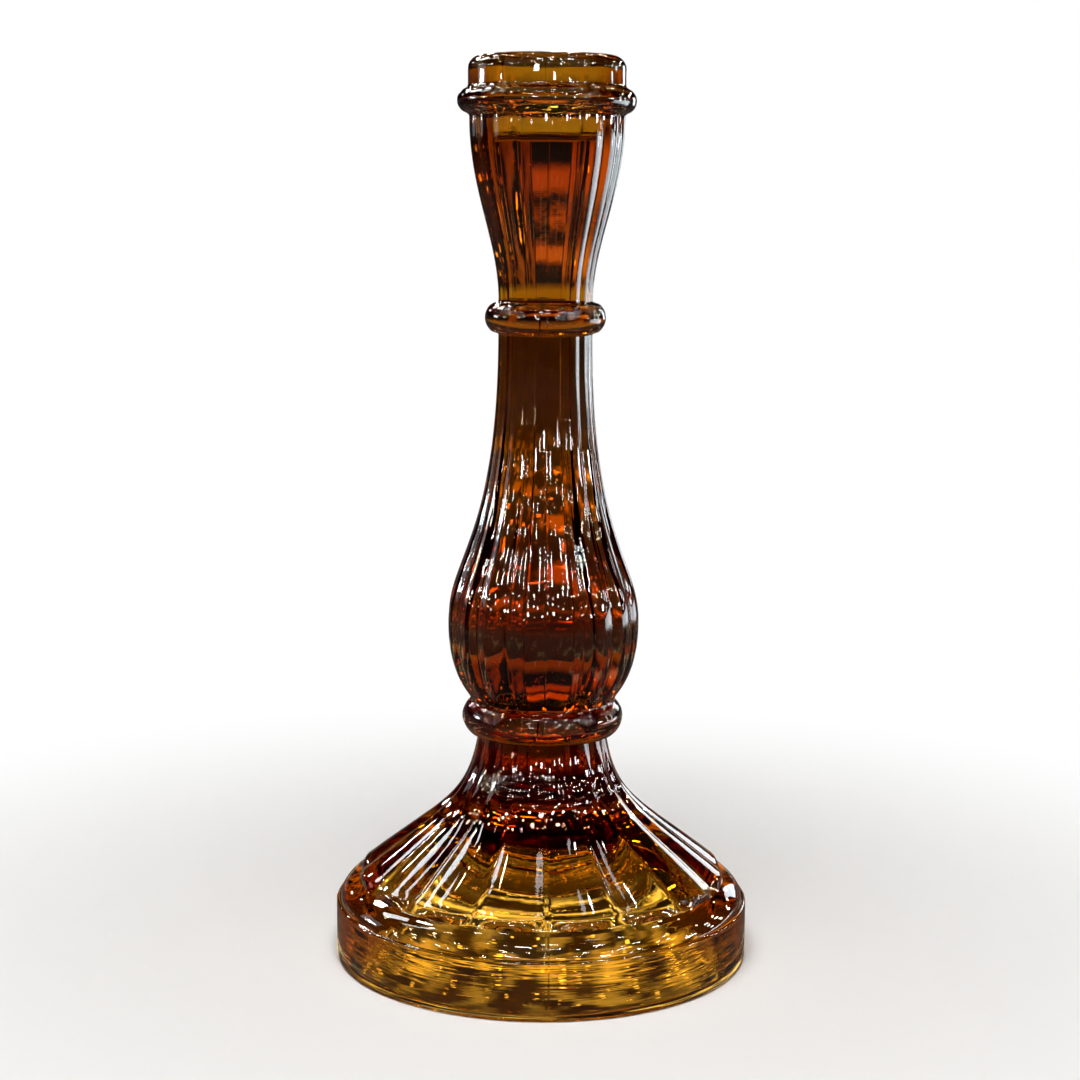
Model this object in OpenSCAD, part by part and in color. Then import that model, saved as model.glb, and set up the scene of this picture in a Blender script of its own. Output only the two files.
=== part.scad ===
// Pressed amber glass candlestick: a taper-candle socket in a ribbed tulip cup, on a ribbed
// baluster stem and a hollow ribbed foot. Each moulded section is one solid, and the sections
// meet face to face where the hot glass is one piece. Origin at the centre of the foot, +Z up.

/* [Candle socket] */
// Diameter of the hole that takes the candle
socket_d = 22.5; // [21:0.1:24]
// Depth of the hole below the rim
socket_depth = 21; // [17:0.5:24]
// Radius of the rounded mouth of the hole
mouth_round = 1.2; // [0.6:0.1:2]

/* [Rim and cup] */
// Outside diameter of the plain collar at the rim
collar_d = 40.8; // [38:0.2:44]
// Height of the collar
collar_h = 7.5; // [6:0.5:9]
// Radius of the collar's rounded upper edge
collar_round = 3.4; // [1:0.2:4]
// Diameter over the lip bead under the collar
lip_d = 46.4; // [44.5:0.2:48]
// Height of the lip bead's section
lip_h = 8; // [7:0.5:9]
// Height of the ribbed cup
cup_h = 47.5; // [44:0.5:52]

/* [Stem] */
// Diameter of the stem's narrow neck over the ribs
neck_d = 25; // [23:0.5:27]
// Diameter over the upper ring
upper_ring_d = 31.6; // [30:0.2:34]
// Height of the upper ring
upper_ring_h = 8.7; // [8.2:0.1:9]
// Height of the baluster stem
stem_h = 97.5; // [90:0.5:105]
// Diameter over the ribs at the widest part of the baluster
bulb_d = 51.4; // [46:0.2:56]
// Diameter over the ribs where the baluster meets the lower ring
stem_foot_d = 38.8; // [37:0.2:40]
// Diameter over the lower ring
lower_ring_d = 43; // [42:0.2:45]
// Height of the lower ring
lower_ring_h = 9.8; // [9.2:0.1:10.4]

/* [Foot] */
// Diameter over the ribs at the top of the foot
foot_neck_d = 34.8; // [33:0.2:36]
// Height of the ribbed dome, from the plinth to the lower ring
dome_h = 45; // [42:0.5:48]
// Diameter of the circle on which the ribs end
rib_end_d = 98.8; // [96:0.2:101]
// Diameter of the plain plinth that stands on the table
plinth_d = 111.6; // [109:0.2:116]
// Height of the plinth
plinth_h = 16; // [14:0.5:18]
// Diameter of the hollow under the foot, at the table
hollow_d = 94; // [90:0.5:96]
// Height of the hollow under the foot
hollow_h = 36; // [30:0.5:38]

/* [Ribs] */
// Number of ribs round the cup, the stem and the foot
rib_count = 16; // [12:1:20]
// Radius of a rib's round back, as a share of the radius at its crest
rib_back = 0.32; // [0.3:0.01:0.5]

/* [Hidden] */

$fn = 96;
rib_facets = 6;                      // flats across one rib
rib_pitch = 360 / rib_count;
front = -90;                         // a groove between two ribs faces -Y
lip_bead_r = 3.3;
upper_bead_r = 4.6;
lower_bead_r = 5.4;
plinth_round = 1.5;                  // lower edge of the plinth
plinth_edge = 0.9;                   // upper edge of the plinth
hollow_top_d = 88;                   // hollow where the plinth meets the dome

// Heights at which the sections meet
z_dome = plinth_h;
z_lower_ring = z_dome + dome_h;
z_stem = z_lower_ring + lower_ring_h;
z_upper_ring = z_stem + stem_h;
z_cup = z_upper_ring + upper_ring_h;
z_lip = z_cup + cup_h;
z_collar = z_lip + lip_h;
z_rim = z_collar + collar_h;

amber_light = [0.78, 0.55, 0.12];
amber_dark = [0.42, 0.18, 0.03];
amber_mid = [0.62, 0.36, 0.05];

// Point at share t of the way along a curve with four control points
function along(p, t) =
    pow(1 - t, 3) * p[0] + 3 * t * pow(1 - t, 2) * p[1]
    + 3 * t * t * (1 - t) * p[2] + pow(t, 3) * p[3];
function curve(p, steps) = [for (i = [0:steps]) along(p, i / steps)];
function tail(list) = [for (i = [1:len(list) - 1]) list[i]];

// Distance from the axis at angle a, for a rib whose crest is at distance 1: a row of round
// backs that meet in grooves
function rib(a) =
    let (
        turn = (a - front) % rib_pitch,
        off = (turn < 0 ? turn + rib_pitch : turn) - rib_pitch / 2,
        centre = 1 - rib_back
    )
    centre * cos(off) + sqrt(pow(rib_back, 2) - pow(centre * sin(off), 2));

// Solid whose outline runs through rows of [crest radius, height, share of full rib relief],
// from the top row to the bottom row
module ribbed(rows) {
    around = rib_count * rib_facets;
    points = [
        for (row = rows, k = [0:around - 1])
            let (a = front + 360 * k / around, r = row[0] * (1 - row[2] * (1 - rib(a))))
            [r * cos(a), r * sin(a), row[1]]
    ];
    last = (len(rows) - 1) * around;
    bands = [
        for (i = [0:len(rows) - 2], k = [0:around - 1])
            let (p = i * around + k, q = i * around + (k + 1) % around)
            each [[p, q, q + around], [p, q + around, p + around]]
    ];
    top = [for (k = [around - 1:-1:0]) k];
    bottom = [for (k = [0:around - 1]) last + k];
    polyhedron(points, concat([top], bands, [bottom]));
}

// Round ring moulded on a core: core_top and core_bottom are the core's diameters
module bead_ring(h, bead_r, over_d, core_top, core_bottom) {
    rotate_extrude() intersection() {
        square([over_d / 2, h]);
        union() {
            translate([over_d / 2 - bead_r, h / 2]) circle(bead_r);
            square([core_bottom / 2, h / 2]);
            translate([0, h / 2]) square([core_top / 2, h / 2]);
        }
    }
}

module socket_bore() {
    translate([0, 0, z_rim - socket_depth]) cylinder(d = socket_d, h = socket_depth + 1);
}

module rim_collar() {
    outer_r = collar_d / 2;
    bore_r = socket_d / 2;
    color(amber_light) translate([0, 0, z_collar]) rotate_extrude() difference() {
        union() {
            translate([bore_r, 0]) square([outer_r - bore_r, collar_h - collar_round]);
            translate([bore_r, 0]) square([outer_r - bore_r - collar_round, collar_h]);
            translate([outer_r - collar_round, collar_h - collar_round]) circle(collar_round);
        }
        translate([bore_r, collar_h - mouth_round]) difference() {
            square(mouth_round + 0.001);
            translate([mouth_round, 0]) circle(mouth_round);
        }
    }
}

module lip_ring() {
    color(amber_light) difference() {
        translate([0, 0, z_lip]) bead_ring(lip_h, lip_bead_r, lip_d, collar_d, collar_d);
        socket_bore();
    }
}

// Tulip cup: straight-sided at the top, drawn in to the neck
module candle_cup() {
    outline = [
        [collar_d / 2, z_lip], [collar_d / 2, z_cup + 0.59 * cup_h],
        [neck_d / 2, z_cup + 0.33 * cup_h], [neck_d / 2, z_cup]
    ];
    color(amber_dark) difference() {
        ribbed([for (p = curve(outline, 12)) [p[0], p[1], 1]]);
        socket_bore();
    }
}

module upper_ring() {
    color(amber_dark) translate([0, 0, z_upper_ring])
        bead_ring(upper_ring_h, upper_bead_r, upper_ring_d, neck_d, neck_d);
}

// Baluster: a straight neck that swells to a bulb low down, then turns in to the lower ring
module baluster_stem() {
    z_bulb = z_stem + 0.217 * stem_h;
    neck = [
        [neck_d / 2, z_upper_ring], [neck_d / 2, z_stem + 0.44 * stem_h],
        [bulb_d / 2, z_stem + 0.39 * stem_h], [bulb_d / 2, z_bulb]
    ];
    bulb = [
        [bulb_d / 2, z_bulb], [bulb_d / 2, z_stem + 0.063 * stem_h],
        [stem_foot_d / 2 + 0.6, z_stem + 0.022 * stem_h], [stem_foot_d / 2, z_stem]
    ];
    path = concat(curve(neck, 14), tail(curve(bulb, 6)));
    color(amber_dark) ribbed([for (p = path) [p[0], p[1], 1]]);
}

module lower_ring() {
    color(amber_dark) translate([0, 0, z_lower_ring])
        bead_ring(lower_ring_h, lower_bead_r, lower_ring_d, stem_foot_d, foot_neck_d);
}

// Ribs sweep out from the neck and end in round noses on a smooth shoulder
module foot_dome() {
    end_r = rib_end_d / 2;
    edge_r = plinth_d / 2 - plinth_edge;
    sweep = [
        [foot_neck_d / 2, z_lower_ring], [foot_neck_d / 2 + 3.1, z_dome + 0.584 * dome_h],
        [foot_neck_d / 2 + 9.2, z_dome + 0.569 * dome_h], [end_r - 1.6, z_dome + 8.4]
    ];
    nose = [
        [end_r - 1.6, z_dome + 8.4], [end_r - 0.4, z_dome + 7.4],
        [end_r - 0.1, z_dome + 7], [end_r, z_dome + 6.3]
    ];
    shoulder = [
        [end_r, z_dome + 6.3], [end_r + 1.2, z_dome + 5.8],
        [edge_r - 1, z_dome + 3.6], [edge_r, z_dome]
    ];
    steps = 3;
    rows = concat(
        [for (p = curve(sweep, 12)) [p[0], p[1], 1]],
        [for (i = [1:steps]) let (t = i / steps, p = along(nose, t)) [p[0], p[1], 1 - t * t]],
        [for (p = tail(curve(shoulder, 5))) [p[0], p[1], 0]]
    );
    color(amber_mid) difference() {
        ribbed(rows);
        hollow();
    }
}

module foot_plinth() {
    r = plinth_d / 2;
    color(amber_light) difference() {
        rotate_extrude() union() {
            square([r - plinth_round, plinth_h]);
            translate([0, plinth_round]) square([r, plinth_h - plinth_round - plinth_edge]);
            translate([0, plinth_h / 2]) square([r - plinth_edge, plinth_h / 2]);
            translate([r - plinth_round, plinth_round]) circle(plinth_round);
            translate([r - plinth_edge, plinth_h - plinth_edge]) circle(plinth_edge);
        }
        hollow();
    }
}

// Domed hollow under the foot, as the plunger leaves it
module hollow() {
    ceiling = [
        [hollow_top_d / 2, z_dome], [hollow_top_d / 2 - 6, z_dome + 0.5 * (hollow_h - z_dome)],
        [20, hollow_h], [0, hollow_h]
    ];
    rotate_extrude() polygon(concat(
        [[0, -1], [hollow_d / 2 + 0.1, -1], [hollow_d / 2, 0]],
        curve(ceiling, 10)
    ));
}

rim_collar();
lip_ring();
candle_cup();
upper_ring();
baluster_stem();
lower_ring();
foot_dome();
foot_plinth();
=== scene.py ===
from math import atan2, cos, degrees, pi, radians, sin, sqrt

import bmesh
import bpy
from mathutils import Matrix, Vector, noise


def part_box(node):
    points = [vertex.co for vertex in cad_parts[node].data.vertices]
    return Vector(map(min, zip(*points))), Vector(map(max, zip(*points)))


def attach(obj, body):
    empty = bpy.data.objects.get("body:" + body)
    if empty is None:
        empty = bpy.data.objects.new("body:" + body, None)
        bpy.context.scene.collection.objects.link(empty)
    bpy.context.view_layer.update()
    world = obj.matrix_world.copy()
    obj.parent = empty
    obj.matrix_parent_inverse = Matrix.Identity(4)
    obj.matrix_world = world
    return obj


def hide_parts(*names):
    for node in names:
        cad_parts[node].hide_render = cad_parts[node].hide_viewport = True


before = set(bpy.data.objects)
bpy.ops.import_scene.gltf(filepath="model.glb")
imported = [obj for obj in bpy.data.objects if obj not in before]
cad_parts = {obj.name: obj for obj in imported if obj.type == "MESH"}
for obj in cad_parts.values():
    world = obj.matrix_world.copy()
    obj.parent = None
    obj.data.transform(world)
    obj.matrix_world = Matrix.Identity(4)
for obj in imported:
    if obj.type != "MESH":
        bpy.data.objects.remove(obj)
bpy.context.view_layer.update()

# ---------------------------------------------------------------------------------------------
# The plinth: the plain upright ring of clear amber glass that the candlestick stands on.
# It is pressed in a four-part mould, so four faint seams run up it, and its lower edge is
# rounded in the fire. The ground ring under it is scuffed from standing on tables.
# ---------------------------------------------------------------------------------------------
mm = 0.001
ribs = 16
rib_pitch = 2 * pi / ribs
rib_back = 0.32          # radius of a rib's round back, as a share of the radius at its crest
groove_half = radians(1.9)
facets_per_rib = 24
columns = ribs * facets_per_rib
crowding = 0.65          # how much closer together the facets lie in a groove
seams = 4
seam_height = 0.1 * mm
joint_gap = 0.01 * mm    # half the hair's breadth left between two fused sections
ripple = 0.035 * mm
ripple_length = 9 * mm
settle = 2 * mm          # distance over which the ripple dies out towards a joint
crease = radians(38)     # edges bent more than this stay sharp


def rib(turn):
    """Share of the crest radius at an angle from the front groove: round backs, soft grooves."""
    turn = turn % rib_pitch
    groove = min(turn, rib_pitch - turn)

    def back(distance):
        off = rib_pitch / 2 - distance
        centre = 1 - rib_back
        return centre * cos(off) + sqrt(rib_back**2 - (centre * sin(off))**2)

    if groove >= groove_half:
        return back(groove)
    step = radians(0.05)
    slope = (back(groove_half + step) - back(groove_half)) / step
    return back(groove_half) - slope * (groove_half**2 - groove**2) / (2 * groove_half)


def swept(start, pull, push, end, steps):
    """Points on a curve with four control points, leaving out its first."""
    points = []
    for i in range(1, steps + 1):
        t = i / steps
        weights = ((1 - t)**3, 3 * t * (1 - t)**2, 3 * t * t * (1 - t), t**3)
        corners = (start, pull, push, end)
        points.append(tuple(sum(w * c[k] for w, c in zip(weights, corners)) for k in range(2)))
    return points


def arc(centre, radius, first, last, steps):
    """Points on an arc from one angle to another, in degrees above the outward level."""
    points = []
    for i in range(steps + 1):
        turn = radians(first + (last - first) * i / steps)
        points.append((centre[0] + radius * cos(turn), centre[1] + radius * sin(turn)))
    return points


def ribbed(points, first=1.0, last=1.0):
    """The same points with a share of rib relief that runs evenly from first to last."""
    span = max(len(points) - 1, 1)
    return [(p[0], p[1], first + (last - first) * i / span) for i, p in enumerate(points)]


def plain(points):
    """Points with no ribs."""
    return ribbed(points, 0.0, 0.0)


def plunged(points):
    """Points that the smooth plunger leaves: no ribs and no seams."""
    return ribbed(points, -1.0, -1.0)


def column_turn(column):
    """Angle of a column of facets from the front groove, with the columns crowded at grooves."""
    share = (column % facets_per_rib) / facets_per_rib
    eased = share - crowding * sin(2 * pi * share) / (2 * pi)
    return (column // facets_per_rib + eased) * rib_pitch


turns = [column_turn(column) for column in range(columns)]
shares = [rib(turn) for turn in turns]


def pressed(name, outline, joints, closed=False):
    """Spins an outline of (radius, height, rib relief) round the axis and presses its ribs,
    its mould seams and the faint ripple of the cooling skin."""
    weld, on_axis, at_joint = 0.001 * mm, 0.1 * mm, 0.05 * mm
    level = 0.999            # upright share of the normal of a level face
    bm = bmesh.new()
    relief = bm.verts.layers.float.new("relief")
    fused = bm.faces.layers.float.new("fused")
    line = []
    for radius, height, share in outline:
        vert = bm.verts.new((0, -radius, height))
        vert[relief] = share
        line.append(vert)
    pairs = list(zip(line, line[1:])) + ([(line[-1], line[0])] if closed else [])
    edges = [bm.edges.new(pair) for pair in pairs]
    bmesh.ops.spin(bm, geom=line + edges, cent=(0, 0, 0), axis=(0, 0, 1), dvec=(0, 0, 0),
                   angle=2 * pi, steps=columns, use_merge=True, use_duplicate=False)
    bmesh.ops.remove_doubles(bm, verts=bm.verts, dist=weld)
    for vert in bm.verts:
        radius = sqrt(vert.co.x**2 + vert.co.y**2)
        if radius < on_axis:
            continue
        column = round((atan2(vert.co.y, vert.co.x) + pi / 2) / (2 * pi) * columns) % columns
        radius *= 1 - max(vert[relief], 0) * (1 - shares[column])
        if vert[relief] >= 0 and column % (columns // seams) == 0:
            radius += seam_height
        vert.co.x, vert.co.y = radius * sin(turns[column]), -radius * cos(turns[column])
    bmesh.ops.recalc_face_normals(bm, faces=bm.faces)
    bm.normal_update()
    for face in bm.faces:
        height = face.calc_center_median().z
        meets = any(abs(height - z) < at_joint for z in joints)
        face[fused] = 1.0 if meets and abs(face.normal.z) > level else 0.0
    pushes = []
    for vert in bm.verts:
        near = min(abs(vert.co.z - z) for z in joints + [0.0])
        pushes.append(vert.normal * (ripple * min(near / settle, 1)
                                     * noise.noise(vert.co / ripple_length)))
    for vert, push in zip(bm.verts, pushes):
        vert.co += push
    mesh = bpy.data.meshes.new(name)
    bm.to_mesh(mesh)
    bm.free()
    mesh.shade_smooth()
    mesh.set_sharp_from_angle(angle=crease)
    piece = bpy.data.objects.new(name, mesh)
    bpy.context.scene.collection.objects.link(piece)
    return piece


def stand_for(piece, node, material):
    """Gives a piece its glass and puts it in the place of its node."""
    piece.data.materials.append(material)
    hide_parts(node)
    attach(piece, "root")


def wired(kind, inputs, result, **settings):
    """Adds a node to the material or the room at hand and gives back one of its outputs. Its
    inputs take plain values or the outputs of other nodes."""
    made = nodes.new("ShaderNode" + kind)
    for setting, value in settings.items():
        setattr(made, setting, value)
    for socket, value in inputs.items():
        if isinstance(value, bpy.types.NodeSocket):
            links.new(value, made.inputs[socket])
        else:
            made.inputs[socket].default_value = value
    return made.outputs[result]


def blend(share, first, second):
    """A colour between two colours. A Mix node of colours has them at its inputs 6 and 7."""
    return wired("Mix", {0: share, 6: first, 7: second}, 2, data_type="RGBA")


# Clear fire-polished glass is coloured by its depth: thin walls glow and thick ones go dark.
glass = bpy.data.materials.new("amber_glass")
glass.use_nodes = True
nodes, links = glass.node_tree.nodes, glass.node_tree.links
amber, amber_density = (0.905, 0.73, 0.11, 1), 280.0
depth = wired("VolumeAbsorption", {"Color": amber, "Density": amber_density}, "Volume")
links.new(depth, nodes["Material Output"].inputs["Volume"])

# Light goes straight on where two sections are fused, and everywhere else the skin bends it.
glass_bend, no_bend = 1.5, 1.0
amber_skin, no_tint = (1.0, 0.93, 0.72, 1), (1, 1, 1, 1)
fused_face = wired("Attribute", {}, "Fac", attribute_name="fused")
bend = wired("MapRange", {"Value": fused_face, "To Min": glass_bend, "To Max": no_bend}, "Result")

# The cooled skin has faint waves and tool marks, and the plinth has folds laid down in layers.
wave_scale, wave_depth = 420.0, 0.018 * mm
mark_scale, mark_depth = 700.0, 0.0008 * mm
fold_scale, fold_depth = (30, 30, 620), 0.2 * mm
folds_end, folds_full = 15.8 * mm, 14.8 * mm
place = wired("TexCoord", {}, "Object")
height = wired("SeparateXYZ", {"Vector": place}, "Z")
waves = wired("TexNoise", {"Vector": place, "Scale": wave_scale, "Detail": 1.0}, "Fac")
waved = wired("Bump", {"Height": waves, "Distance": wave_depth}, "Normal")
marks = wired("TexWave", {"Vector": place, "Scale": mark_scale, "Distortion": 0.6}, "Fac",
              bands_direction="Z")
marked = wired("Bump", {"Height": marks, "Distance": mark_depth, "Normal": waved}, "Normal")
layers = wired("Mapping", {"Vector": place, "Scale": fold_scale}, "Vector")
folds = wired("TexNoise", {"Vector": layers, "Scale": 1.0, "Detail": 2.0}, "Fac")
on_plinth = wired("MapRange", {"Value": height, "From Min": folds_end, "From Max": folds_full},
                  "Result")
folded = wired("Bump", {"Height": folds, "Distance": fold_depth, "Strength": on_plinth,
                        "Normal": marked}, "Normal")

# The ring that it stands on is ground.
ground_end, ground_full, ground_rough = 0.35 * mm, 0.1 * mm, 0.5
ground = wired("MapRange", {"Value": height, "From Min": ground_end, "From Max": ground_full,
                            "To Max": ground_rough}, "Result")
surface = nodes["Principled BSDF"]
surface.inputs["Transmission Weight"].default_value = 1.0
for socket, value in (("Base Color", blend(fused_face, amber_skin, no_tint)), ("IOR", bend),
                      ("Normal", folded), ("Roughness", ground)):
    links.new(value, surface.inputs[socket])

plinth_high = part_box("foot_plinth")[1]
plinth_r = plinth_high.x - seam_height - ripple
plinth_top = plinth_high.z
foot_round = 1.5 * mm
edge_round = 0.9 * mm
hollow_r = 47 * mm
hollow_top_r = 44 * mm
heel_round = 0.8 * mm    # edge of the hollow, at the table
heel_step = 0.1 * mm     # the hollow opens by this much at the top of that edge
wall_rows = (0.3, 0.5, 0.7)
plinth = pressed("plinth", plunged(
    [(hollow_top_r, plinth_top - joint_gap), (hollow_r - heel_step, heel_round)]
    + arc((hollow_r + heel_round, heel_round), heel_round, 180, 270, 5)
) + plain(
    arc((plinth_r - foot_round, foot_round), foot_round, -90, 0, 8)
    + [(plinth_r, share * plinth_top) for share in wall_rows]
    + arc((plinth_r - edge_round, plinth_top - edge_round), edge_round, 0, 80, 6)
    + [(plinth_r - edge_round, plinth_top - joint_gap)]
), [plinth_top], closed=True)
stand_for(plinth, "foot_plinth", glass)

# ---------------------------------------------------------------------------------------------
# The dome of the foot: ribs of clear amber glass that sweep out from the neck and end in round
# noses on a smooth shoulder. The plunger that presses it leaves a smooth hollow underneath.
# ---------------------------------------------------------------------------------------------
dome_low, dome_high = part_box("foot_dome")
dome_h = dome_high.z - dome_low.z
neck_r = 17.4 * mm
rib_end_r = 49.4 * mm
edge_r = plinth_r - edge_round
hollow_high = 36 * mm
nose_start = (rib_end_r - 1.3 * mm, plinth_top + 8.5 * mm)
rib_end = (rib_end_r, plinth_top + 5.6 * mm)
sweep_rows, nose_rows, shoulder_rows, ceiling_rows = 44, 10, 16, 40
sweep_pull = (neck_r + 3.1 * mm, plinth_top + 0.584 * dome_h)
sweep_push = (neck_r + 9.2 * mm, plinth_top + 0.569 * dome_h)
sweep = [(neck_r, dome_high.z - joint_gap)] + swept(
    (neck_r, dome_high.z), sweep_pull, sweep_push, nose_start, sweep_rows)
nose_pull = (rib_end_r - 0.2 * mm, plinth_top + 7.9 * mm)
nose_push = (rib_end_r, plinth_top + 6.9 * mm)
nose = swept(nose_start, nose_pull, nose_push, rib_end, nose_rows)
shoulder_pull = (rib_end_r + 1.5 * mm, plinth_top + 5 * mm)
shoulder_push = (edge_r - 0.7 * mm, plinth_top + 3.5 * mm)
shoulder = swept(rib_end, shoulder_pull, shoulder_push, (edge_r, plinth_top + joint_gap),
                 shoulder_rows)
ceiling_pull = (hollow_top_r - 6 * mm, plinth_top + 0.5 * (hollow_high - plinth_top))
ceiling_push = (20 * mm, hollow_high)
ceiling = swept((hollow_top_r, plinth_top + joint_gap), ceiling_pull, ceiling_push,
                (0, hollow_high), ceiling_rows)
dome = pressed("foot_dome_glass",
    [(0, dome_high.z - joint_gap, 1.0)]
    + ribbed(sweep)
    + [(r, z, 1 - ((i + 1) / len(nose))**2) for i, (r, z) in enumerate(nose)]
    + plain(shoulder)
    + plunged([(hollow_top_r, plinth_top + joint_gap)] + ceiling),
    [plinth_top, dome_high.z])
stand_for(dome, "foot_dome", glass)

# ---------------------------------------------------------------------------------------------
# The lower ring: a smooth round bead of the same glass between the foot and the stem, pressed
# in one with them. A small round fillet runs into the ribs above and below it.
# ---------------------------------------------------------------------------------------------
bead_rows, fillet_rows = 28, 5
fade_start, fade_end = 0.8, 0.2      # share of rib relief along a fillet


def ring(name, node, over_r, bead_r, low_r, high_r):
    """A bead on a ribbed core, fused to the sections above and below."""
    fillet_h, fillet_pull = 0.7 * mm, 0.3 * mm
    low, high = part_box(node)
    middle = (over_r - bead_r, (low.z + high.z) / 2)
    rise = (high.z - low.z) / 2 - fillet_h
    reach = degrees(atan2(rise, sqrt(bead_r**2 - rise**2)))
    bead = arc(middle, bead_r, -reach, reach, bead_rows)
    under = swept((low_r, low.z + joint_gap), (low_r, low.z + fillet_pull),
                  bead[0], bead[0], fillet_rows)[:-1]
    over = swept(bead[-1], bead[-1], (high_r, high.z - fillet_pull),
                 (high_r, high.z - joint_gap), fillet_rows)
    piece = pressed(name,
        [(0, low.z + joint_gap, 1.0), (low_r, low.z + joint_gap, 1.0)]
        + ribbed(under, fade_start, fade_end) + plain(bead) + ribbed(over, fade_end)
        + [(0, high.z - joint_gap, 1.0)],
        [low.z, high.z])
    stand_for(piece, node, glass)


stem_foot_r = 19.4 * mm
lower_over_r, lower_bead_r = 21.5 * mm, 5.4 * mm
ring("lower_bead", "lower_ring", lower_over_r, lower_bead_r, neck_r, stem_foot_r)

# ---------------------------------------------------------------------------------------------
# The baluster stem: solid glass, a straight ribbed neck that swells to a bulb low down and turns
# in to the lower ring. It is the thickest glass of the piece, so it is the darkest.
# ---------------------------------------------------------------------------------------------
stem_low, stem_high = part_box("baluster_stem")
stem_h = stem_high.z - stem_low.z
stem_neck_r = 12.5 * mm
bulb_r = 25.7 * mm
bulb_z = stem_low.z + 0.217 * stem_h
bulb_rows, swell_rows = 36, 70
bulb_pull = (stem_foot_r + 0.6 * mm, stem_low.z + 0.022 * stem_h)
bulb_push = (bulb_r, stem_low.z + 0.063 * stem_h)
bulb = swept((stem_foot_r, stem_low.z), bulb_pull, bulb_push, (bulb_r, bulb_z), bulb_rows)
swell_pull = (bulb_r, stem_low.z + 0.39 * stem_h)
swell_push = (stem_neck_r, stem_low.z + 0.44 * stem_h)
swell = swept((bulb_r, bulb_z), swell_pull, swell_push,
              (stem_neck_r, stem_high.z - joint_gap), swell_rows)
stem = pressed("stem",
    [(0, stem_low.z + joint_gap, 1.0)]
    + ribbed([(stem_foot_r, stem_low.z + joint_gap)] + bulb + swell)
    + [(0, stem_high.z - joint_gap, 1.0)],
    [stem_low.z, stem_high.z])
stand_for(stem, "baluster_stem", glass)

# ---------------------------------------------------------------------------------------------
# The upper ring: a slimmer bead of the same glass between the stem and the cup, pressed in one
# with them, like the lower ring.
# ---------------------------------------------------------------------------------------------
upper_over_r, upper_bead_r = 15.8 * mm, 4.6 * mm
ring("upper_bead", "upper_ring", upper_over_r, upper_bead_r, stem_neck_r, stem_neck_r)

# ---------------------------------------------------------------------------------------------
# The candle cup: a ribbed tulip of the same glass, solid below and pressed hollow in its top for
# the candle. The floor of the hole lies a little under the lip, and its corner is round.
# ---------------------------------------------------------------------------------------------
cup_low, cup_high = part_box("candle_cup")
cup_h = cup_high.z - cup_low.z
rim_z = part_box("rim_collar")[1].z
cup_r = 20.4 * mm
socket_r = 11.25 * mm
socket_floor = rim_z - 21 * mm
floor_round = 1.5 * mm
tulip_rows = 48
tulip_pull = (stem_neck_r, cup_low.z + 0.33 * cup_h)
tulip_push = (cup_r, cup_low.z + 0.59 * cup_h)
tulip = swept((stem_neck_r, cup_low.z), tulip_pull, tulip_push, (cup_r, cup_high.z - joint_gap),
              tulip_rows)
floor_corner = arc((socket_r - floor_round, socket_floor + floor_round), floor_round, 0, -90, 6)
cup = pressed("candle_cup_glass",
    [(0, cup_low.z + joint_gap, 1.0)]
    + ribbed([(stem_neck_r, cup_low.z + joint_gap)] + tulip)
    + plunged([(socket_r, cup_high.z - joint_gap)] + floor_corner + [(0, socket_floor)]),
    [cup_low.z, cup_high.z])
stand_for(cup, "candle_cup", glass)

# ---------------------------------------------------------------------------------------------
# The lip: a round bead of the same glass under the rim, bored through for the candle. Its fillets
# run into the ribs of the cup below it and into the plain collar above it.
# ---------------------------------------------------------------------------------------------
lip_low, lip_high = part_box("lip_ring")
lip_r = 23.2 * mm
lip_bead_r = 3.3 * mm
lip_middle = (lip_r - lip_bead_r, (lip_low.z + lip_high.z) / 2)
lip_reach, lip_pull = 68, 0.4 * mm
lip_bead = arc(lip_middle, lip_bead_r, -lip_reach, lip_reach, bead_rows)
lip_under = swept((cup_r, lip_low.z + joint_gap), (cup_r, lip_low.z + lip_pull),
                  lip_bead[0], lip_bead[0], fillet_rows)[:-1]
lip_over = swept(lip_bead[-1], lip_bead[-1], (cup_r, lip_high.z - lip_pull),
                 (cup_r, lip_high.z - joint_gap), fillet_rows)
lip = pressed("lip_bead",
    [(socket_r, lip_low.z + joint_gap, -1.0), (cup_r, lip_low.z + joint_gap, 1.0)]
    + ribbed(lip_under, fade_start, fade_end) + plain(lip_bead) + plain(lip_over)
    + [(socket_r, lip_high.z - joint_gap, -1.0)],
    [lip_low.z, lip_high.z], closed=True)
stand_for(lip, "lip_ring", glass)

# ---------------------------------------------------------------------------------------------
# The rim: a plain collar of the same glass, pressed with the cup. Its upper edge was softened
# in the fire and is well rounded, and so is the mouth of the candle hole.
# ---------------------------------------------------------------------------------------------
collar_round = 3.4 * mm
mouth_round = 1.2 * mm
collar_top = rim_z - ripple
collar_row = 2 * mm      # row of facets above the joint, so that the skin can ripple
collar = pressed("collar", plain(
    [(cup_r, lip_high.z + joint_gap), (cup_r, lip_high.z + collar_row)]
    + arc((cup_r - collar_round, collar_top - collar_round), collar_round, 0, 90, 16)
) + plunged(
    arc((socket_r + mouth_round, collar_top - mouth_round), mouth_round, 90, 180, 8)
    + [(socket_r, lip_high.z + joint_gap)]
), [lip_high.z], closed=True)
stand_for(collar, "rim_collar", glass)

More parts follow.
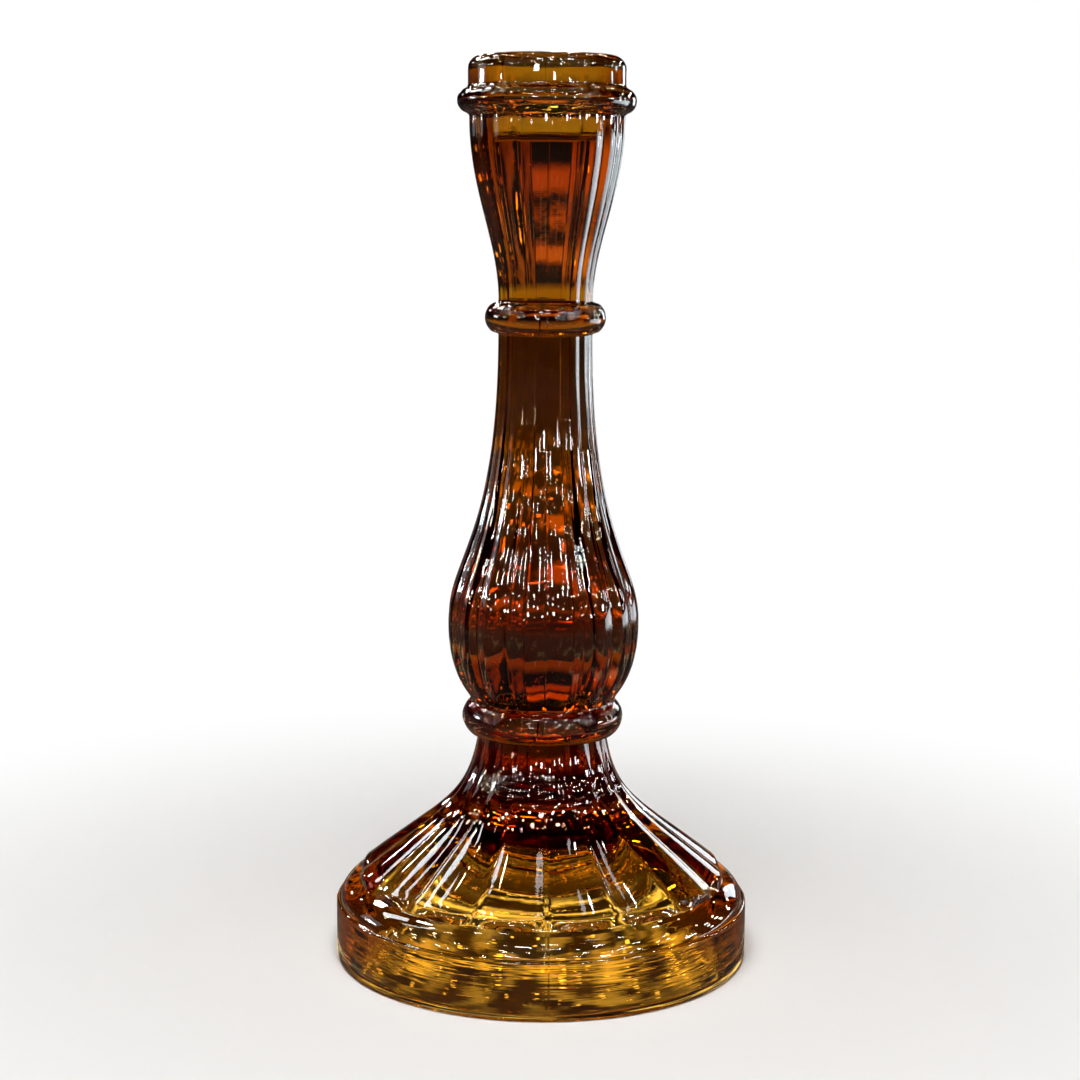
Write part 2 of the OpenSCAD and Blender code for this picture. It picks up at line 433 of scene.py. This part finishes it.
# ---------------------------------------------------------------------------------------------
# The floor: a wide sheet of pale paper that runs off to white. Painted light glows on it as
# streaks, clouds, pools and crumbs in place of the light the glass would gather; the camera sees
# it only through the glass.
# ---------------------------------------------------------------------------------------------
sheet_r = 6.0
bm = bmesh.new()
bmesh.ops.create_circle(bm, cap_ends=True, segments=96, radius=sheet_r)
floor_mesh = bpy.data.meshes.new("floor")
bm.to_mesh(floor_mesh)
bm.free()
floor = bpy.data.objects.new("floor", floor_mesh)
bpy.context.scene.collection.objects.link(floor)
paper = bpy.data.materials.new("pale_paper_with_painted_light")
paper.use_nodes = True
nodes, links = paper.node_tree.nodes, paper.node_tree.links


def calculate(operation, first, second, clamp=False):
    """A sum on two values or outputs."""
    return wired("Math", {0: first, 1: second}, "Value", operation=operation, use_clamp=clamp)


def total(*terms):
    """All the terms added up."""
    result = terms[0]
    for term in terms[1:]:
        result = calculate("ADD", result, term)
    return result


def product(*factors):
    """All the factors multiplied."""
    result = factors[0]
    for factor in factors[1:]:
        result = calculate("MULTIPLY", result, factor)
    return result


def range_of(value, low, high):
    """How far a value is between two numbers, from 0 to 1, with a soft start and end."""
    return wired("MapRange", {"Value": value, "From Min": low, "From Max": high}, "Result",
                 interpolation_type="SMOOTHSTEP")


def axes(vector):
    """The three parts of a vector."""
    return [wired("SeparateXYZ", {"Vector": vector}, axis) for axis in "XYZ"]


def length_of(vector):
    return wired("VectorMath", {0: vector}, "Value", operation="LENGTH")


def speckle(vector, scale, detail):
    """Soft random cloud, finer for a larger scale."""
    return wired("TexNoise", {"Vector": vector, "Scale": scale, "Detail": detail}, "Fac")


def rays():
    """Which rays look: the camera's, those inside or through the glass, and those off its skin.
    A ray that the glass bends counts as glossy too, so it is taken off the last."""
    camera_ray, glossy_ray, glass_ray = (
        wired("LightPath", {}, kind)
        for kind in ("Is Camera Ray", "Is Glossy Ray", "Is Transmission Ray"))
    return camera_ray, glass_ray, calculate("SUBTRACT", glossy_ray, glass_ray, True)


camera_ray, glass_ray, skin_ray = rays()
place = wired("TexCoord", {}, "Object")
sideways, backwards = axes(place)[:2]
far = length_of(place)

# Painted light: streaks glow in rings under the wall of the foot.
ring_scale, round_scale, streak_strength = 620.0, 1.3, 1.9
rings = wired("CombineXYZ", {
    "X": product(far, ring_scale),
    "Y": calculate("DIVIDE", product(sideways, round_scale), far),
    "Z": calculate("DIVIDE", product(backwards, round_scale), far),
}, "Vector")
under_wall = product(range_of(far, 66 * mm, 52 * mm), range_of(far, 42 * mm, 48 * mm))
painted_streaks = product(range_of(speckle(rings, 1.0, 3.0), 0.52, 0.64), under_wall, streak_strength)

# Painted light: clouds and glints glow under the hollow, and are brighter behind the middle.
cloud_scale, glint_scale, glint_strength = 75.0, 230.0, 4.0
front_strength, back_gain = 0.6, 1.2
painted_clouds = range_of(speckle(place, cloud_scale, 3.0), 0.44, 0.64)
glints = product(range_of(speckle(place, glint_scale, 0.0), 0.73, 0.77), glint_strength)
from_behind = total(front_strength, product(range_of(backwards, -30 * mm, 15 * mm), back_gain))
hollow_glow = product(total(painted_clouds, glints), range_of(far, 48 * mm, 36 * mm), from_behind)

# Painted pools and crumbs of light lie round about, and one round painted spot of light lies
# behind the foot.
pool_scale, pool_strength = 11.0, 0.9
spot_place, spot_strength = (12 * mm, 225 * mm, 0), 1.2
light_crumb_scale, light_crumb_strength = 75.0, 6.0
painted_pools = product(range_of(speckle(place, pool_scale, 1.0), 0.56, 0.66),
                range_of(far, 90 * mm, 140 * mm), range_of(far, 700 * mm, 400 * mm),
                pool_strength)
from_spot = wired("VectorMath", {0: place, 1: spot_place}, "Value", operation="DISTANCE")
spot = product(range_of(from_spot, 32 * mm, 18 * mm), spot_strength)
painted_crumbs = product(range_of(speckle(place, light_crumb_scale, 0.0), 0.73, 0.77),
                 range_of(far, 80 * mm, 100 * mm), range_of(far, 600 * mm, 400 * mm),
                 glass_ray, light_crumb_strength)
# The painted light is an emission of the paper, which the camera never sees.
painted_floor_light = wired("Emission", {
    "Color": (1.0, 0.84, 0.4, 1),
    "Strength": product(total(painted_streaks, painted_pools, spot, painted_crumbs, hollow_glow),
                        calculate("SUBTRACT", 1.0, camera_ray)),
}, "Emission")

# A painted strip of window glare glows on the floor to the right, far off, and shows in the skin
# as a painted reflection.
glare_turn, glare_strength = radians(112), 6.0
towards = wired("VectorMath", {0: place, 1: (sin(glare_turn), -cos(glare_turn), 0)}, "Value",
                operation="DOT_PRODUCT")
glare = wired("Emission", {
    "Color": (0.86, 0.95, 1.0, 1),
    "Strength": product(range_of(calculate("DIVIDE", towards, far), 0.93, 0.97),
                        range_of(far, 500 * mm, 800 * mm), skin_ray, glare_strength),
}, "Emission")

# The paper itself is pale to the camera and dark to the glass: painted shade that stands in for a
# dim room.
shaded_paper, light_paper = (0.09, 0.078, 0.065, 1), (0.86, 0.855, 0.85, 1)
sheet = nodes["Principled BSDF"]
sheet.inputs["Roughness"].default_value = 0.9
sheet.inputs["Specular IOR Level"].default_value = 0.1
links.new(blend(camera_ray, shaded_paper, light_paper), sheet.inputs["Base Color"])
glow = wired("AddShader", {0: glare, 1: painted_floor_light}, "Shader")
table = wired("AddShader", {0: sheet.outputs["BSDF"], 1: glow}, "Shader")
white_paper = wired("Emission", {"Strength": 1.0}, "Emission")
run_off = product(range_of(far, 70 * mm, 300 * mm), camera_ray)
paper_seen = wired("MixShader", {0: run_off, 1: table, 2: white_paper}, "Shader")
links.new(paper_seen, nodes["Material Output"].inputs["Surface"])
floor_mesh.materials.append(paper)

# ---------------------------------------------------------------------------------------------
# The room: a dim room that shows only in the glass, with many small bulbs on its ceiling, lit
# shelves round its walls and lit panels behind. The camera sees a plain white backdrop.
# ---------------------------------------------------------------------------------------------
world = bpy.data.worlds.new("studio")
bpy.context.scene.world = world
world.use_nodes = True
nodes, links = world.node_tree.nodes, world.node_tree.links
camera_ray, glass_ray, skin_ray = rays()
look = wired("TexCoord", {}, "Generated")
look_right, look_back, look_up = axes(look)

bulb_scale, bulb_stretch = 5.4, 2.2
skin_bulbs, low_bulbs, high_bulbs = 200.0, 6.0, 240.0
cool_bulb, warm_bulb = (0.9, 0.97, 1.0, 1), (1.0, 0.72, 0.36, 1)
level_look = wired("VectorMath", {0: look, 1: (1, 1, 0)}, "Vector", operation="MULTIPLY")
across = calculate("MAXIMUM", length_of(level_look), 0.05)
round_room = wired("CombineXYZ", {
    "X": calculate("DIVIDE", look_right, across),
    "Y": calculate("DIVIDE", look_back, across),
    "Z": product(look_up, bulb_stretch),
}, "Vector")
from_bulb, bulb_colour = (
    wired("TexVoronoi", {"Vector": round_room, "Scale": bulb_scale}, part)
    for part in ("Distance", "Color"))
lit = product(range_of(from_bulb, 0.15, 0.1), range_of(look_up, 0.12, 0.2),
              range_of(look_up, 0.95, 0.9))
warmth = range_of(wired("SeparateColor", {"Color": bulb_colour}, "Red"), 0.35, 0.6)
on_skin = product(skin_ray, skin_bulbs)
through = product(glass_ray, total(low_bulbs, product(range_of(look_up, 0.3, 0.5), high_bulbs)))
bulbs = wired("Background", {
    "Color": blend(warmth, cool_bulb, warm_bulb),
    "Strength": product(lit, calculate("MAXIMUM", on_skin, through)),
}, "Background")

shelf_scale, shelf_strength = 3.2, 0.5
shelves = product(range_of(speckle(look, shelf_scale, 2.0), 0.58, 0.68),
                  range_of(look_up, 0.55, 0.1), shelf_strength)
aside = calculate("DIVIDE", look_right, calculate("MAXIMUM", look_back, 0.05))


def soft_panel(middle, height, half_width, half_height, strength):
    """A lit panel behind the candlestick, with soft edges."""
    off = calculate("ABSOLUTE", calculate("SUBTRACT", aside, middle), 0)
    above = calculate("ABSOLUTE", calculate("SUBTRACT", look_up, height), 0)
    return product(range_of(off, half_width * 1.25, half_width * 0.6),
                   range_of(above, half_height * 1.4, half_height * 0.4), strength)


panels = total(soft_panel(0.03, 0.29, 0.17, 0.035, 1.5), soft_panel(0.05, 0.2, 0.2, 0.03, 0.9),
               soft_panel(-0.55, 0.2, 0.12, 0.09, 1.0))
furniture = wired("Background", {
    "Color": (1.0, 0.6, 0.3, 1),
    "Strength": product(glass_ray, total(panels, shelves)),
}, "Background")

# The walls are lighter low down than high up, and show only faintly in the skin.
low_wall, high_wall = 0.62, 0.014
walls = wired("MapRange", {"Value": look_up, "From Min": 0.02, "From Max": 0.075,
                           "To Min": low_wall, "To Max": high_wall}, "Result")
room = nodes["Background"]
links.new(blend(skin_ray, (0.86, 0.95, 0.95, 1), (0.62, 0.8, 1.0, 1)), room.inputs["Color"])
links.new(product(walls, range_of(skin_ray, 1.25, 0.0)), room.inputs["Strength"])
backdrop = wired("Background", {"Color": (1, 1, 1, 1), "Strength": 1.0}, "Background")
lights = wired("AddShader", {0: bulbs, 1: furniture}, "Shader")
in_glass = wired("AddShader", {0: lights, 1: room.outputs["Background"]}, "Shader")
room_seen = wired("MixShader", {0: camera_ray, 1: in_glass, 2: backdrop}, "Shader")
links.new(room_seen, nodes["World Output"].inputs["Surface"])

# ---------------------------------------------------------------------------------------------
# The lamps: one large softbox over the floor, and windows, a lit wall and many small bulbs that
# stand round the candlestick and show as glints on its skin.
# ---------------------------------------------------------------------------------------------
aim = Vector((0, 0, 120 * mm))


def lamp(name, azimuth, elevation, away, width, height, radiance, tint, seen_in="all"):
    """A softbox, with its size and distance in metres. Azimuth is measured from the camera's
    side, clockwise seen from above. One seen in "floor" lights only the paper, one in "gloss"
    shows only in reflections, and one in "all" does both and shows through the glass."""
    data = bpy.data.lights.new(name, "AREA")
    data.shape = "RECTANGLE"
    data.size, data.size_y = width, height
    data.energy = radiance * pi * width * height
    data.color = tint
    turn, rise = radians(azimuth), radians(elevation)
    spot = aim + away * Vector((sin(turn) * cos(rise), -cos(turn) * cos(rise), sin(rise)))
    stand = bpy.data.objects.new(name, data)
    stand.location = spot
    stand.rotation_euler = (aim - spot).to_track_quat("-Z", "Y").to_euler()
    stand.visible_camera = False
    stand.visible_transmission = seen_in == "all"
    stand.visible_diffuse = seen_in != "gloss"
    stand.visible_glossy = seen_in != "floor"
    bpy.context.scene.collection.objects.link(stand)


cool, white, warm = (0.86, 0.95, 1.0), (1, 1, 1), (1.0, 0.9, 0.7)
lamp("overhead_soft", -8, 66, 1.5, 1.1, 1.1, 5.8, white, "floor")

small_lamp = 60
lamp("overhead_left", -15, 55, 1.2, 0.15, 0.06, small_lamp, white)
lamp("overhead_front", 4, 48, 1.2, 0.12, 0.05, small_lamp, white)
lamp("overhead_right", 42, 52, 1.2, 0.14, 0.06, small_lamp, cool, "gloss")
lamp("high_front", 8, 69, 1.2, 0.15, 0.06, small_lamp, warm)
lamp("low_front", -24, 34, 1.3, 0.1, 0.05, small_lamp, warm, "gloss")
lamp("side_right", 62, 38, 1.3, 0.1, 0.05, small_lamp, cool, "gloss")

panes = ((106, 1), (106, 8), (107, 15), (117, 4), (117, 12))
lamp("window_left_1", -130, 38, 1.0, 0.16, 0.22, 12, cool, "gloss")
lamp("window_left_2", -112, 46, 1.0, 0.05, 0.22, 13, cool, "gloss")
for pane, (azimuth, elevation) in enumerate(panes):
    lamp(f"window_right_{pane + 1}", azimuth, elevation, 1.1, 0.06, 0.07, 16, cool, "gloss")
lamp("window_right_top", 76, 72, 1.0, 0.06, 0.1, 6, cool, "gloss")
lamp("window_behind", 148, 6, 1.1, 0.2, 0.3, 5, cool, "gloss")
lamp("wall_left", -112, 10, 1.1, 0.35, 0.3, 1.1, cool, "gloss")

bright_bulb = 90
bulb_rows_round = ((6, -112, 40), (13, -90, 36), (26, -45, 23))   # elevation, first, pitch
bulbs_in_row = 6
for row, (elevation, first, pitch) in enumerate(bulb_rows_round):
    for i in range(bulbs_in_row):
        uneven = 2 * sin(2.4 * i)
        lamp(f"spark_{row + 1}_{i + 1}", first + pitch * i, elevation + uneven, 1.3,
             0.05, 0.025 + 0.01 * row, bright_bulb, (warm, white, warm)[i % 3], "gloss")
lamp("spark_rim_left", -150, 30, 1.3, 0.2, 0.1, small_lamp, white, "gloss")
lamp("spark_rim_right", -136, 50, 1.3, 0.1, 0.1, small_lamp, white, "gloss")
lamp("spark_lip_1", -111, 8, 1.3, 0.2, 0.06, small_lamp, cool, "gloss")
lamp("spark_lip_2", -17, 10, 1.3, 0.16, 0.05, small_lamp, white, "gloss")
lamp("spark_lip_3", 33, 6, 1.3, 0.12, 0.05, small_lamp, white, "gloss")
lamp("spark_lip_4", 88, 6, 1.3, 0.2, 0.06, small_lamp, cool, "gloss")

# ---------------------------------------------------------------------------------------------
# The camera: it stands a little over half a metre off, a little left of the front, and looks
# slightly down. It follows a ray through many layers of glass.
# ---------------------------------------------------------------------------------------------
eye_away, eye_height, eye_side = 576 * mm, 204 * mm, radians(1.8)
look_down, pan, roll = radians(8.93), radians(0.1), radians(0.42)
sensor_width, lens_length = 36.0, 72.83333   # both in mm
layers_of_glass, layers_of_gloss = 48, 24
camera_data = bpy.data.cameras.new("camera")
camera_data.sensor_width = sensor_width
camera_data.lens = lens_length
camera_data.clip_start = 10 * mm
camera = bpy.data.objects.new("camera", camera_data)
camera.matrix_world = (
    Matrix.Rotation(-eye_side, 4, "Z")
    @ Matrix.Translation((0, -eye_away, eye_height))
    @ Matrix.Rotation(pan, 4, "Z")
    @ Matrix.Rotation(pi / 2 - look_down, 4, "X")
    @ Matrix.Rotation(roll, 4, "Z")
)
bpy.context.scene.collection.objects.link(camera)
bpy.context.scene.camera = camera
bpy.context.scene.view_settings.view_transform = "Standard"
bpy.context.scene.cycles.max_bounces = layers_of_glass
bpy.context.scene.cycles.transmission_bounces = layers_of_glass
bpy.context.scene.cycles.glossy_bounces = layers_of_gloss
